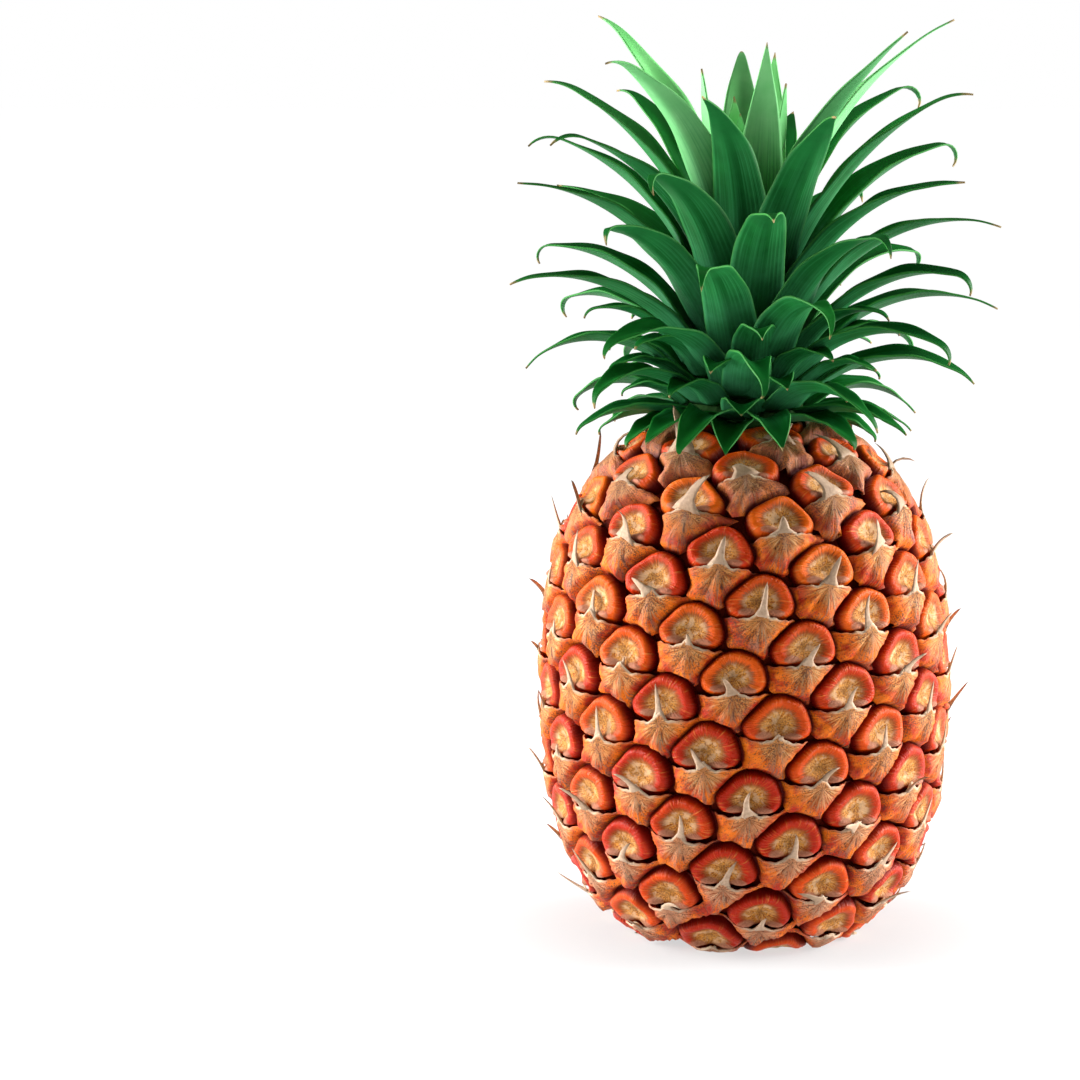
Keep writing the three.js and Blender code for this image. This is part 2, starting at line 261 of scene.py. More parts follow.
def dome_outline(eye, direction):
    """The distance from a dome's centre to its outline."""
    turned_to = direction - eye_turn[eye]
    across = (np.abs(np.cos(turned_to)) / DOME_HALF_WIDTH) ** DOME_SQUARENESS
    upward = (np.abs(np.sin(turned_to)) / DOME_RISE) ** DOME_SQUARENESS
    oval = (across + upward) ** (-1 / DOME_SQUARENESS) * eye_size[eye]
    peak = 1 + DOME_PEAK * np.exp(-(((turned_to - math.radians(80)) / 0.28) ** 2))
    own_ground = SHARE_OF_GROUND * reach(neighbours(eye)[1], DOME_CENTRE, direction)
    power = -OUTLINE_SHARPNESS
    return ((oval * peak) ** power + own_ground**power) ** (1 / power)


outline_directions = np.linspace(-math.pi, math.pi, 121)
dome_outlines = np.array([dome_outline(eye, outline_directions) for eye in range(len(eye_numbers))])


def turned(name, profile, segments):
    """A closed round shape spun from a profile of radii and heights."""
    made = bmesh.new()
    line = [made.verts.new((radius, 0, height)) for radius, height in profile]
    edges = [made.edges.new(pair) for pair in zip(line, line[1:])]
    bmesh.ops.spin(
        made,
        geom=line + edges,
        cent=(0, 0, 0),
        axis=(0, 0, 1),
        angle=math.tau,
        steps=segments,
        use_merge=True,
    )
    bmesh.ops.remove_doubles(made, verts=made.verts, dist=1e-6)
    bmesh.ops.recalc_face_normals(made, faces=made.faces)
    return to_mesh(made, name)


def ease(value, start, end):
    """A smooth change from 0 to 1 as the value goes from start to end."""
    share = np.clip((value - start) / (end - start), 0, 1)
    return share * share * (3 - 2 * share)


def points_of(mesh):
    flat = np.empty(len(mesh.vertices) * 3)
    mesh.vertices.foreach_get("co", flat)
    return flat.reshape(-1, 3)


def give_trait(mesh, name, values):
    """Writes a number on every point of a piece, for its finish to read."""
    mesh.attributes.new(name, "FLOAT", "POINT").data.foreach_set("value", values)


def grow_on_eyes(name, template, shape):
    """A copy of a template on every eye. Its shape function turns the template's points into
    places on the eye (to the right, up and out from the groove) and numbers for the finish."""
    grown = bmesh.new()
    for _ in shown_eyes:
        grown.from_mesh(template)
    mesh = to_mesh(grown, name)
    template_points = points_of(template).T
    points = []
    maps = []
    traits = {}
    for eye in shown_eyes:
        right, up, out, numbers = shape(eye, *template_points)
        level_place = eye_centre[eye] + right[:, None] * eye_right[eye] + up[:, None] * eye_up[eye]
        surface, outward = on_skin(level_place)
        place = surface + (out - GROOVE_DEPTH)[:, None] * outward
        place[:, 2] = np.maximum(place[:, 2], FLOOR_CLEARANCE)
        points.append(place)
        maps.append(np.stack((right, up), 1) / (2 * EYE_WIDTH) + 0.5)
        for number, values in {"tone": np.full(len(right), eye_tone[eye]), **numbers}.items():
            traits.setdefault(number, []).append(values)
    mesh.vertices.foreach_set("co", np.concatenate(points).ravel())
    for number, values in traits.items():
        give_trait(mesh, number, np.concatenate(values))
    corner = np.empty(len(mesh.loops), dtype=np.int32)
    mesh.loops.foreach_get("vertex_index", corner)
    mesh.uv_layers.new(name="eye").data.foreach_set("uv", np.concatenate(maps)[corner].ravel())
    mesh.update()
    return mesh


def dome_shape(eye, x, y, height):
    share = np.hypot(x, y)
    direction = np.arctan2(y, x)
    distance = share * np.interp(direction, outline_directions, dome_outlines[eye])
    right = DOME_CENTRE[0] + distance * np.cos(direction)
    up = DOME_CENTRE[1] + distance * np.sin(direction)
    phase = eye_tone[eye] * 40
    lumps = np.sin(3 * direction + phase) + 0.7 * np.sin(5 * direction + 2 * phase)
    out = height + DOME_UNEVENNESS * lumps * ease(share, 0.3, 0.8)
    # Two small dried flower leaves lie on the lower middle, and below them the dome goes under its bract.
    dried = 0
    for side in (-1, 1):
        from_lump = ((right - side * 0.0044) / 0.0030) ** 2 + ((up + 0.0013 + side * 0.0003) / 0.0012) ** 2
        dried = dried + np.exp(-(from_lump**1.5))
    out = out + FLOWER_LEAF_RISE * dried
    out = out - DOME_TUCK * ease(-up, 0.0014, 0.0042) * (height > 0)
    return right, up, out, {"rim": share, "dried": dried}


def eye_place(finish, centre):
    """Where a point is on its eye, from a centre on it: its direction from straight up, and distance."""
    flat = step(finish, "ShaderNodeUVMap", uv_map="eye").outputs[0]
    parts = step(finish, "ShaderNodeSeparateXYZ", {0: flat}).outputs
    middle = [0.5 + way / (2 * EYE_WIDTH) for way in centre]
    right = calc(finish, "SUBTRACT", parts["X"], middle[0])
    up = calc(finish, "SUBTRACT", parts["Y"], middle[1])
    direction = calc(finish, "ARCTAN2", right, up)
    squares = [calc(finish, "POWER", way, 2.0) for way in (right, up)]
    distance = calc(finish, "SQRT", calc(finish, "ADD", *squares))
    return direction, calc(finish, "MULTIPLY", distance, 2 * EYE_WIDTH)


def uneven(finish, value, noise, amount):
    """A value that strays to either side of itself with a noise."""
    stray = calc(finish, "MULTIPLY", calc(finish, "SUBTRACT", noise, 0.5), amount)
    return calc(finish, "ADD", value, stray)


def fan_out(finish, first, second, tone):
    """Coordinates on an eye for a noise, set apart from those of every other eye."""
    apart = calc(finish, "MULTIPLY", tone, 50.0)
    return step(finish, "ShaderNodeCombineXYZ", {0: first, 1: second, 2: apart}).outputs[0]


def dome_finish():
    finish = new_finish("eye_dome")
    place = place_on_piece(finish)
    height = height_of(finish, place)
    tone = trait(finish, "tone")
    rim = trait(finish, "rim")
    direction = eye_place(finish, DOME_CENTRE)[0]
    spread = fan_out(finish, calc(finish, "MULTIPLY", direction, 3.0), rim, tone)
    streaks = mottle(finish, spread, 0.22, 2.0, (1, 0.35, 1))
    patches = mottle(finish, place, 0.006)
    down = mottle(finish, place, 0.00045, 3.0)
    warmth = calc(finish, "ADD", calc(finish, "MULTIPLY", tone, 0.5), calc(finish, "MULTIPLY", patches, 0.5))
    warm = fade(finish, warmth, 0.30, 0.75)
    red = blend(finish, warm, (0.50, 0.016, 0.0, 1), (0.74, 0.070, 0.0, 1))
    orange = blend(finish, warm, (0.62, 0.034, 0.0, 1), (0.90, 0.15, 0.002, 1))
    band = blend(finish, fade(finish, height, 0.05, 0.15), red, orange)
    band = blend(finish, fade(finish, streaks, 0.55, 0.78, 0.0, 0.5), band, (0.92, 0.36, 0.07, 1))
    straw = blend(finish, fade(finish, down, 0.35, 0.65), (0.34, 0.050, 0.001, 1), (0.90, 0.40, 0.065, 1))
    straw = blend(finish, fade(finish, streaks, 0.42, 0.62, 0.0, 0.45), straw, (0.90, 0.58, 0.24, 1))
    pale = fade(finish, mottle(finish, place, 0.0026, 2.0), 0.50, 0.62, 0.0, 0.65)
    straw = blend(finish, pale, straw, (0.93, 0.63, 0.36, 1))
    edge_of_band = uneven(finish, rim, streaks, 0.45)
    rough_rim = calc(finish, "ADD", rim, calc(finish, "MULTIPLY", down, 0.2))
    shaded = fade(finish, rough_rim, 0.45, 0.66, 0.0, 0.85)
    straw = blend(finish, shaded, straw, (0.28, 0.040, 0.005, 1))
    colour = blend(finish, fade(finish, edge_of_band, 0.50, 0.66), straw, band)
    flower = blend(finish, down, (0.22, 0.060, 0.030, 1), (0.66, 0.30, 0.17, 1))
    colour = blend(finish, fade(finish, trait(finish, "dried"), 0.25, 0.6, 0.0, 0.85), colour, flower)
    # Painted shade: the dome darkens to near-black red at its outline, where it dips into the groove.
    colour = blend(finish, fade(finish, rim, 0.82, 0.98), colour, (0.11, 0.001, 0.0, 1))
    roughness = fade(finish, edge_of_band, 0.45, 0.70, 0.6, 0.36)
    relief = calc(finish, "ADD", calc(finish, "MULTIPLY", down, 0.4), calc(finish, "MULTIPLY", streaks, 0.9))
    paint(finish, colour, roughness, relief, 0.0006, Specular_IOR_Level=0.16)
    return finish


dome_template = turned("dome", DOME_PROFILE, 48)
domes = grow_on_eyes("eye_domes", dome_template, dome_shape)
add_piece("eye_domes", domes, [dome_finish()], ["fruit"])

# ---- The bracts ----
# Under each eye a dry, papery leaf of the old flower head covers the dome's lower half. It lies
# over the berry like a star-shaped flap, tan and streaked, and its points run between the eyes below.
BRACT_ROOT = np.array((0.0, -0.0035))
BRACT_HALF_WIDTH = 0.0115
BRACT_THICKNESS = 0.0005
BRACT_CREST = 0.0056
BRACT_SINK = 0.0008
BRACT_REACH = 1.22
CREVICE = 0.0017
KEEL_RISE = 0.0009
CREASE_DEPTH = 0.0012
# Directions of the creases from the keel, in radians, and how deep each one is.
CREASES = ((-1.15, 0.4), (-0.62, 1.0), (0.10, 1.0), (0.55, 0.5), (1.1, 0.6))


def bract_shape(eye, x, y, _):
    side = x
    down = y
    near, offsets = neighbours(eye)
    direction = math.radians(-90) + math.radians(92) * side + eye_turn[eye]
    tip = 1 + 0.10 * np.exp(-(((side - 0.25) / 0.2) ** 2))
    border = BRACT_REACH * reach(offsets, BRACT_ROOT, direction) * tip
    edge_right = BRACT_HALF_WIDTH * side
    flare = 0.0024 * np.exp(-((edge_right / 0.0017) ** 2)) + 0.0007 * np.exp(-((edge_right / 0.005) ** 2))
    frayed = 0.00022 * np.sin(23 * side + 40 * eye_tone[eye])
    frayed = frayed + 0.00018 * np.sin(11 * side + 90 * eye_tone[eye])
    edge_up = BRACT_ROOT[1] + flare + frayed + 0.0004 * side**2 + np.tan(eye_turn[eye]) * edge_right
    right = edge_right + (border * np.cos(direction) - edge_right) * down
    up = edge_up + (BRACT_ROOT[1] + border * np.sin(direction) - edge_up) * down
    gap = np.full(len(right), 1.0)
    for other, offset in zip(near, offsets):
        from_dome = np.stack((right, up), 1) - offset - DOME_CENTRE
        toward = np.arctan2(from_dome[:, 1], from_dome[:, 0])
        outline = np.interp(toward, outline_directions, dome_outlines[other])
        gap = np.minimum(gap, np.linalg.norm(from_dome, axis=1) - outline)
    from_root = np.hypot(right, up - BRACT_ROOT[1])
    from_keel = np.arctan2(right, BRACT_ROOT[1] - up + 1e-6)
    crest = BRACT_CREST - 9 * from_root**2
    crest = crest * (1 - 0.5 * np.abs(side) ** 3)
    spread = ease(from_root, 0.001, 0.004)
    fold = from_keel + 0.2 * (eye_tone[eye] - 0.5)
    crest = crest + KEEL_RISE * np.exp(-((from_keel / 0.16) ** 2)) * spread
    creased = 0
    for crease, share in CREASES:
        creased = creased + share * np.exp(-(((fold - crease) / 0.10) ** 2)) * spread
    crest = crest - CREASE_DEPTH * creased
    crest = crest + 0.0003 * np.sin(9 * fold + 30 * eye_tone[eye]) * ease(from_root, 0.003, 0.008)
    out = BRACT_SINK + (crest - BRACT_SINK) * ease(gap, 0.0, CREVICE)
    return right, up, out, {"gap": gap, "from_edge": down * border, "creased": creased}


def bract_finish():
    finish = new_finish("bract")
    place = place_on_piece(finish)
    height = height_of(finish, place)
    tone = trait(finish, "tone")
    gap = trait(finish, "gap")
    from_edge = trait(finish, "from_edge")
    direction, distance = eye_place(finish, BRACT_ROOT)
    down = calc(finish, "ABSOLUTE", direction)
    sweep = calc(finish, "MULTIPLY", down, 4.0)
    spread = fan_out(finish, sweep, calc(finish, "MULTIPLY", distance, 60.0), tone)
    streaks = mottle(finish, spread, 0.30, 3.0)
    patches = mottle(finish, place, 0.005)
    dots = mottle(finish, place, 0.0005, 2.0)
    light = fade(finish, streaks, 0.30, 0.68)
    tan = blend(finish, light, (0.42, 0.065, 0.003, 1), (0.93, 0.42, 0.11, 1))
    pink = blend(finish, light, (0.40, 0.080, 0.022, 1), (0.92, 0.46, 0.24, 1))
    tan = blend(finish, fade(finish, height, 0.015, 0.075), pink, tan)
    tan = blend(finish, fade(finish, streaks, 0.56, 0.68, 0.0, 0.5), tan, (0.95, 0.68, 0.38, 1))
    lobe = blend(finish, fade(finish, patches, 0.36, 0.64), (0.54, 0.013, 0.0, 1), (0.97, 0.20, 0.001, 1))
    far_out = fade(finish, uneven(finish, distance, patches, 0.008), 0.0035, 0.0088)
    outer = calc(finish, "MAXIMUM", far_out, fade(finish, gap, 0.0034, 0.0012))
    colour = blend(finish, calc(finish, "MULTIPLY", outer, 0.92), tan, lobe)
    grey = blend(finish, patches, (0.10, 0.045, 0.035, 1), (0.34, 0.20, 0.14, 1))
    off_keel = calc(finish, "SUBTRACT", math.pi, down)
    worn = calc(finish, "MULTIPLY", fade(finish, off_keel, 1.0, 0.15), fade(finish, streaks, 0.46, 0.60))
    colour = blend(finish, calc(finish, "MULTIPLY", worn, 0.6), colour, grey)
    # Painted shade: the bract goes near-black along its creases, most towards its middle.
    crease = calc(finish, "MULTIPLY", trait(finish, "creased"), fade(finish, distance, 0.0085, 0.0055))
    colour = blend(finish, fade(finish, crease, 0.50, 0.95, 0.0, 0.9), colour, (0.050, 0.018, 0.020, 1))
    # Near the crown the bracts turn a darker brown: partly withering, partly painted shade from the crown
    # above them.
    withered_and_shaded = blend(finish, streaks, (0.10, 0.045, 0.025, 1), (0.46, 0.24, 0.12, 1))
    colour = blend(finish, fade(finish, height, 0.125, 0.155, 0.0, 0.6), colour, withered_and_shaded)
    dust = fade(finish, mottle(finish, place, 0.011, 2.0), 0.45, 0.70, 0.61, 0.50)
    speck = calc(finish, "GREATER_THAN", dots, dust)
    colour = blend(finish, calc(finish, "MULTIPLY", speck, 0.75), colour, (0.12, 0.045, 0.028, 1))
    near_spine = fade(finish, distance, 0.0075, 0.0035, 0.15, 0.75)
    pale_edge = calc(finish, "MULTIPLY", fade(finish, from_edge, 0.0012, 0.0002), near_spine)
    colour = blend(finish, pale_edge, colour, (0.92, 0.74, 0.52, 1))
    # Painted shade: near-black red where the bract runs down into the crevice against the neighbouring
    # domes.
    colour = blend(finish, fade(finish, gap, 0.0010, 0.0001), colour, (0.12, 0.002, 0.0, 1))
    relief = calc(finish, "ADD", streaks, calc(finish, "MULTIPLY", dots, 0.3))
    paint(finish, colour, 0.58, relief, 0.0007, Specular_IOR_Level=0.24)
    return finish


flap = bmesh.new()
bmesh.ops.create_grid(flap, x_segments=26, y_segments=9, size=1.0)
for vertex in flap.verts:
    vertex.co.y = (1 - vertex.co.y) / 2
bmesh.ops.reverse_faces(flap, faces=flap.faces)
flaps = grow_on_eyes("bracts", to_mesh(flap, "flap"), bract_shape)
bracts = add_piece("bracts", flaps, [bract_finish()], ["fruit"])
paper = bracts.modifiers.new("thickness", "SOLIDIFY")
paper.thickness = BRACT_THICKNESS
paper.offset = -1

# ---- The spines ----
# The middle of each bract's upper edge runs out into a flat dried spine, that lies up over the
# dome's middle. Those near the crown are longer, broader and curlier, those at the foot are worn
# short, and some are broken off.
SPINE_HALF_WIDTH = 0.0014
SPINE_HALF_THICKNESS = 0.0006
SPINE_STRIDES = 40
SPINE_PROFILE = ((0, 0), (1, 0), (0.92, 0.15), (0.74, 0.32), (0.60, 0.5), (0.46, 0.68), (0.28, 0.85), (0, 1))
SHARE_BROKEN_OFF = 0.12
spine_chance = np.random.default_rng(23)
near_crown = ease(eye_height, 0.11, 0.15)
spine_length = np.where(
    spine_chance.uniform(0, 1, len(eye_numbers)) < SHARE_BROKEN_OFF,
    spine_chance.uniform(0.003, 0.006, len(eye_numbers)),
    spine_chance.uniform(0.0088, 0.0128, len(eye_numbers)),
)
spine_length = spine_length * (1 + 0.25 * ease(eye_height, 0.12, 0.15))
spine_length = spine_length * (0.3 + 0.7 * ease(eye_height, 0.002, 0.014))
spine_side = spine_chance.normal(0, 0.35, len(eye_numbers))
spine_bend = spine_chance.normal(0, 0.7, len(eye_numbers))
spine_rise = np.radians(spine_chance.uniform(4, 34, len(eye_numbers)) + 15 * near_crown)
spine_curl = np.radians(spine_chance.normal(0, 25, len(eye_numbers))) * (1 + 1.2 * near_crown)
spine_width = SPINE_HALF_WIDTH * (1 + 0.9 * near_crown)


def run(strides):
    """How far a line has gone at the end of each stride, from nothing at its start."""
    return np.concatenate(([0], np.cumsum(strides)))


def spine_shape(eye, x, y, along):
    steps = np.linspace(0, 1, SPINE_STRIDES + 1)
    lift = spine_rise[eye] + spine_curl[eye] * steps
    lean = spine_side[eye] + spine_bend[eye] * steps
    stride = spine_length[eye] / SPINE_STRIDES
    path_right = run(stride * np.cos(lift) * np.sin(lean))[:-1]
    path_up = run(stride * np.cos(lift) * np.cos(lean))[:-1]
    path_out = run(stride * np.sin(lift))[:-1]

    def at(path):
        return np.interp(along, steps, path)

    flare = 2 - ease(along, 0.0, 0.3)
    across = x * spine_width[eye] * flare
    raised = y * SPINE_HALF_THICKNESS
    right = at(path_right) + across * np.cos(at(lean))
    up = BRACT_ROOT[1] + 0.0002 + at(path_up) - across * np.sin(at(lean)) - raised * np.sin(at(lift))
    out = BRACT_CREST + at(path_out) + raised * np.cos(at(lift)) - 0.0003 * (1 - x * x)
    return right, up, out, {"along": along}


def spine_finish():
    finish = new_finish("spine")
    place = place_on_piece(finish)
    along = trait(finish, "along")
    tone = trait(finish, "tone")
    fibres = mottle(finish, place, 0.0010, 3.0)
    pale = blend(finish, fibres, (0.30, 0.17, 0.11, 1), (0.76, 0.56, 0.38, 1))
    brown = blend(finish, fibres, (0.16, 0.09, 0.05, 1), (0.42, 0.28, 0.17, 1))
    height = height_of(finish, place)
    dark_up_high = fade(finish, height, 0.125, 0.150, 0.0, 0.75)
    dark_end = fade(finish, along, 0.6, 1.0, 0.0, 0.7)
    dark = calc(finish, "MAXIMUM", dark_up_high, dark_end)
    dark = calc(finish, "MAXIMUM", dark, fade(finish, tone, 0.7, 0.9, 0.0, 0.6))
    colour = blend(finish, dark, pale, brown)
    paint(finish, colour, 0.6, fibres, 0.0002, Specular_IOR_Level=0.2)
    return finish


spine_template = turned("spine", SPINE_PROFILE, 6)
spines = grow_on_eyes("spines", spine_template, spine_shape)
add_piece("spines", spines, [spine_finish()], ["fruit"])

# ---- The cut stalk ----
# The stub of the woody stalk that the fruit grew on, cut flush with the underside. The cut shows
# pale pith dotted with brown bundles of fibre, and a brown rind round it.
def cut_stalk_finish():
    finish = new_finish("cut_stalk_wood")
    place = place_on_piece(finish)
    rings = mottle(finish, place, 0.0016, 4.0)
    dots = step(finish, "ShaderNodeTexVoronoi", {"Vector": place, "Scale": 900.0}).outputs["Distance"]
    parts = step(finish, "ShaderNodeSeparateXYZ", {0: place}).outputs
    squares = [calc(finish, "POWER", parts[axis], 2.0) for axis in "XY"]
    from_axis = calc(finish, "SQRT", calc(finish, "ADD", *squares))
    pith = blend(finish, rings, (0.42, 0.28, 0.13, 1), (0.76, 0.60, 0.36, 1))
    colour = blend(finish, fade(finish, dots, 0.32, 0.18, 0.0, 0.8), pith, (0.22, 0.11, 0.04, 1))
    colour = blend(finish, fade(finish, from_axis, 0.0095, 0.0122), colour, (0.20, 0.10, 0.045, 1))
    paint(finish, colour, 0.85, rings, 0.0005)
    return finish


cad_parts["cut_stalk"].data.materials.clear()
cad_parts["cut_stalk"].data.materials.append(cut_stalk_finish())

# ---- The crown's stem ----
# The short stem inside the crown, that every leaf clasps. It tapers up into the bud. The leaves
# hide it and keep the light off it, so it is dark, green and dull.
def stem_finish():
    finish = new_finish("crown_stem_skin")
    place = place_on_piece(finish)
    fibres = mottle(finish, place, 0.002, 3.0, (1, 1, 0.2))
    colour = blend(finish, fibres, (0.006, 0.035, 0.006, 1), (0.03, 0.09, 0.02, 1))
    paint(finish, colour, 0.8, fibres, 0.0004, Specular_IOR_Level=0.04)
    return finish


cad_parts["crown_stem"].data.materials.clear()
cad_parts["crown_stem"].data.materials.append(stem_finish())

# ---- The crown's leaves ----
# Stiff strap leaves, channelled along the middle, each clasping the stem with its foot. They are
# deep green above and paler below, finely ribbed, and dry to a brown curl at the tip. The young
# ones stand upright in the middle and are pale green.
LEAF_THICKNESS = 0.0006
FIRST_OF_BUD = 50
STATIONS_ALONG = 48
STATIONS_ACROSS = 12
CURL_STARTS = 0.86
leaf_chance = np.random.default_rng(41)


def ribbing(finish, flat, along, width):
    """Fine ribs that run the length of a blade and die out where it narrows."""
    ribs = mottle(finish, flat, width, 2.0, (0.04, 1, 1))
    strength = fade(finish, along, 0.35, 0.75, 1.0, 0.0)
    return uneven(finish, 0.5, ribs, strength)


def dried_tip(finish, colour, along, patches):
    """The end of a leaf, dead and brown."""
    dry = blend(finish, patches, (0.14, 0.085, 0.030, 1), (0.48, 0.36, 0.16, 1))
    at_tip = fade(finish, uneven(finish, along, patches, 0.10), 0.955, 0.985)
    return blend(finish, at_tip, colour, dry)


def leaf_face_finish():
    finish = new_finish("leaf_face")
    flat = step(finish, "ShaderNodeUVMap", uv_map="blade").outputs[0]
    parts = step(finish, "ShaderNodeSeparateXYZ", {0: flat}).outputs
    along = parts["X"]
    place = place_on_piece(finish)
    tone = trait(finish, "tone")
    young = trait(finish, "young")
    from_middle = calc(finish, "ABSOLUTE", calc(finish, "SUBTRACT", parts["Y"], 0.5))
    ribs = ribbing(finish, flat, along, 0.07)
    patches = mottle(finish, place, 0.012, 3.0)
    green = blend(finish, patches, (0.0004, 0.034, 0.003, 1), (0.003, 0.130, 0.016, 1))
    mint = blend(finish, patches, (0.130, 0.620, 0.150, 1), (0.380, 0.900, 0.360, 1))
    colour = blend(finish, young, green, mint)
    colour = blend(finish, fade(finish, ribs, 0.45, 0.75, 0.0, 0.32), colour, (0.014, 0.230, 0.046, 1))
    colour = blend(finish, fade(finish, tone, 0.3, 1.0, 0.0, 0.28), colour, (0.014, 0.230, 0.022, 1))
    pale_foot = blend(finish, ribs, (0.006, 0.090, 0.020, 1), (0.040, 0.200, 0.060, 1))
    bloom = fade(finish, along, 0.75, 0.25, 0.0, 0.4)
    bloom = calc(finish, "MULTIPLY", bloom, fade(finish, ribs, 0.40, 0.66))
    bloom = calc(finish, "MULTIPLY", bloom, fade(finish, patches, 0.40, 0.62))
    colour = blend(finish, bloom, colour, (0.045, 0.200, 0.110, 1))
    colour = blend(finish, fade(finish, along, 0.20, 0.0, 0.0, 0.3), colour, pale_foot)
    margin = fade(finish, from_middle, 0.485, 0.499, 0.0, 0.25)
    colour = blend(finish, margin, colour, (0.070, 0.320, 0.030, 1))
    colour = dried_tip(finish, colour, along, patches)
    roughness = fade(finish, patches, 0.2, 0.8, 0.36, 0.50)
    paint(finish, colour, roughness, ribs, 0.00014, Specular_IOR_Level=0.07)
    return finish


def leaf_back_finish():
    finish = new_finish("leaf_back")
    flat = step(finish, "ShaderNodeUVMap", uv_map="blade").outputs[0]
    parts = step(finish, "ShaderNodeSeparateXYZ", {0: flat}).outputs
    along = parts["X"]
    place = place_on_piece(finish)
    young = trait(finish, "young")
    from_middle = calc(finish, "ABSOLUTE", calc(finish, "SUBTRACT", parts["Y"], 0.5))
    ribs = ribbing(finish, flat, along, 0.05)
    patches = mottle(finish, place, 0.010, 3.0)
    green = blend(finish, patches, (0.002, 0.055, 0.008, 1), (0.012, 0.190, 0.036, 1))
    mint = blend(finish, patches, (0.150, 0.640, 0.180, 1), (0.400, 0.900, 0.400, 1))
    colour = blend(finish, young, green, mint)
    colour = blend(finish, fade(finish, ribs, 0.42, 0.68, 0.0, 0.5), colour, (0.040, 0.300, 0.095, 1))
    bloom = fade(finish, along, 0.45, 0.05)
    bloom = calc(finish, "MULTIPLY", bloom, fade(finish, patches, 0.3, 0.7, 0.3, 0.8))
    colour = blend(finish, bloom, colour, (0.050, 0.240, 0.110, 1))
    margin = fade(finish, from_middle, 0.475, 0.499, 0.0, 0.35)
    colour = blend(finish, margin, colour, (0.080, 0.340, 0.050, 1))
    colour = dried_tip(finish, colour, along, patches)
    paint(finish, colour, 0.48, ribs, 0.0002, Specular_IOR_Level=0.10)
    return finish


def leaf_frame(mesh):
    """The line of a modelled leaf: at each station from foot to tip its midrib, half its width as
    a sideways vector, and the fold that lifts its edges above the midrib."""
    copy = bmesh.new()
    copy.from_mesh(mesh)
    bmesh.ops.remove_doubles(copy, verts=copy.verts, dist=1e-5)
    # The foot is nearest the axis and low. The tip is far from it, and four edges meet there.
    foot = min(copy.verts, key=lambda v: math.hypot(v.co.x, v.co.y) + 0.2 * v.co.z)
    tip = max(copy.verts, key=lambda v: (v.co - foot.co).length + (len(v.link_edges) == 4) * 0.02)
    rings = [[tip]]
    seen = {tip}
    while len(seen) < len(copy.verts):
        ring = {edge.other_vert(v) for v in rings[-1] for edge in v.link_edges} - seen
        seen |= ring
        rings.append(list(ring))
    midrib = [Vector(tip.co)]
    width = [Vector((0, 0, 0))]
    fold = [Vector((0, 0, 0))]
    for ring in rings[1:]:
        pairs = [(a, b) for i, a in enumerate(ring) for b in ring[i + 1:]]
        rib = min(pairs, key=lambda pair: (pair[0].co - pair[1].co).length)
        edges = [v for v in ring if v not in rib]
        between = (edges[0].co + edges[1].co) / 2
        inner = min(rib, key=lambda v: (v.co - between).length)
        half = (edges[0].co - edges[1].co) / 2
        if half.dot(Vector((0, 0, 1)).cross(Vector((inner.co.x, inner.co.y, 0)))) < 0:
            half = -half
        midrib.append(Vector(inner.co))
        width.append(half)
        fold.append(between - inner.co)
    copy.free()
    return [np.array(line[::-1]) for line in (midrib, width, fold)]


def smooth_along(stations, values, places):
    """A smooth curve through the values at the stations, read at the places."""
    slopes = np.gradient(values, stations, axis=0)
    after = np.clip(np.searchsorted(stations, places, side="right"), 1, len(stations) - 1)
    start, end = stations[after - 1], stations[after]
    gap = (end - start)[:, None]
    t = ((places - start) / (end - start))[:, None]
    return (
        (2 * t**3 - 3 * t**2 + 1) * values[after - 1]
        + (t**3 - 2 * t**2 + t) * gap * slopes[after - 1]
        + (3 * t**2 - 2 * t**3) * values[after]
        + (t**3 - t**2) * gap * slopes[after]
    )


def blade(name, midrib, width, fold, curl, young):
    """A leaf blade bent along its midrib, its end curled over by an angle in radians."""
    reached = run(np.linalg.norm(np.diff(midrib, axis=0), axis=1))
    stations = reached / reached[-1]
    made = bmesh.new()
    bmesh.ops.create_grid(made, x_segments=STATIONS_ALONG, y_segments=STATIONS_ACROSS, size=1.0)
    uv = made.loops.layers.uv.new("blade")
    for face in made.faces:
        for corner in face.loops:
            corner[uv].uv = (corner.vert.co.x / 2 + 0.5, corner.vert.co.y / 2 + 0.5)
    mesh = to_mesh(made, name)
    flat = points_of(mesh)
    across = flat[:, 1]
    along = np.linspace(0, 1, STATIONS_ALONG + 1) ** 0.85
    line = smooth_along(stations, midrib, along)
    half = smooth_along(stations, width, along)
    lift = smooth_along(stations, fold, along)
    # The tip curls over its own top side, so its strides turn about the leaf's width.
    strides = np.diff(line, axis=0)
    for k in np.flatnonzero(along[1:] > CURL_STARTS):
        turn = curl * ((along[k + 1] - CURL_STARTS) / (1 - CURL_STARTS)) ** 1.5
        axis = half[min(k, STATIONS_ALONG - 3)]
        axis = axis / np.linalg.norm(axis)
        stride = strides[k]
        strides[k] = stride * math.cos(turn) + np.cross(axis, stride) * math.sin(turn)
    line = np.concatenate((line[:1], line[0] + np.cumsum(strides, axis=0)))
    row = np.rint((flat[:, 0] + 1) / 2 * STATIONS_ALONG).astype(int)
    channel = (np.sqrt(across**2 + 0.09) - 0.3) / (math.sqrt(1.09) - 0.3)
    channel = channel * (1 - 0.95 * ease(along[row], 0.6, 0.92))
    ripple = 0.10 * np.sin(row * 0.45 + 7 * curl + 1.3 * across)
    ripple = ripple * np.abs(across) ** 3 * np.sin(np.pi * row / STATIONS_ALONG)
    points = line[row] + half[row] * across[:, None] + lift[row] * (channel + ripple)[:, None]
    mesh.vertices.foreach_set("co", points.ravel())
    give_trait(mesh, "tone", np.full(len(across), leaf_chance.uniform(0, 1)))
    give_trait(mesh, "young", np.full(len(across), young))
    mesh.update()
    return mesh


